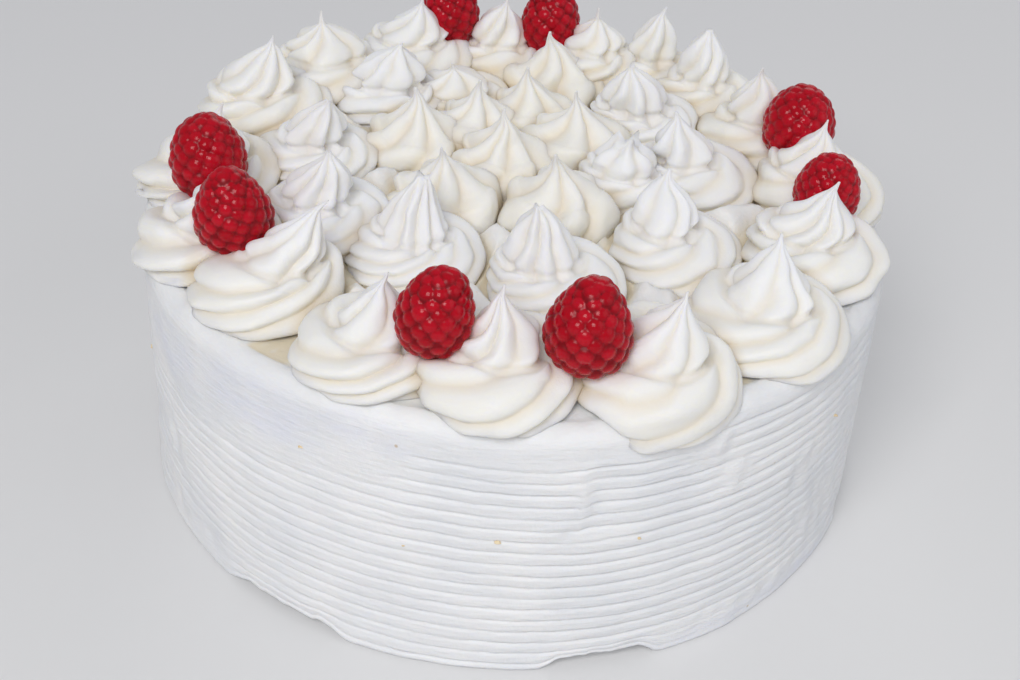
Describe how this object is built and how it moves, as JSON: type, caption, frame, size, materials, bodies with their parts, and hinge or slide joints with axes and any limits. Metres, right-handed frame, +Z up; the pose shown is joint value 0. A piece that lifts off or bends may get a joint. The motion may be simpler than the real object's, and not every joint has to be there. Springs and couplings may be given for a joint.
{
  "type": "layer cake",
  "caption": "Round iced layer cake with a combed side, piped star swirls covering its top and red berries set in pairs around the rim.",
  "frame": {"origin": "centre of the flat base, on the surface the cake stands on", "axes": "+Z up through the middle of the cake, -Y towards the front shown in the picture, +X to the right"},
  "size_m": [0.2149, 0.2154, 0.1118],
  "materials": {
    "side_icing": "soft matte icing, combed",
    "piped_cream": "soft satin cream, piped",
    "berry": "moist gloss"
  },
  "bodies": {
    "root": {"iced_cake": "side_icing", "rim_swirl_01": "piped_cream", "rim_swirl_02": "piped_cream", "rim_swirl_03": "piped_cream", "rim_swirl_04": "piped_cream", "rim_swirl_05": "piped_cream", "rim_swirl_06": "piped_cream", "rim_swirl_07": "piped_cream", "rim_swirl_08": "piped_cream", "rim_swirl_09": "piped_cream", "rim_swirl_10": "piped_cream", "rim_swirl_11": "piped_cream", "rim_swirl_12": "piped_cream", "rim_swirl_13": "piped_cream", "rim_swirl_14": "piped_cream", "rim_swirl_15": "piped_cream", "rim_swirl_16": "piped_cream", "rim_swirl_17": "piped_cream", "top_swirl_01": "piped_cream", "top_swirl_02": "piped_cream", "top_swirl_03": "piped_cream", "top_swirl_04": "piped_cream", "top_swirl_05": "piped_cream", "top_swirl_06": "piped_cream", "top_swirl_07": "piped_cream", "top_swirl_08": "piped_cream", "top_swirl_09": "piped_cream", "top_swirl_10": "piped_cream", "top_swirl_11": "piped_cream", "top_swirl_12": "piped_cream", "top_swirl_13": "piped_cream", "top_swirl_14": "piped_cream", "top_swirl_15": "piped_cream", "top_swirl_16": "piped_cream", "top_swirl_17": "piped_cream", "top_swirl_18": "piped_cream", "berry_front_left": "berry", "berry_front_right": "berry", "berry_left_front": "berry", "berry_left_back": "berry", "berry_right_front": "berry", "berry_right_back": "berry", "berry_back_left": "berry", "berry_back_right": "berry"}
  },
  "joints": []
}
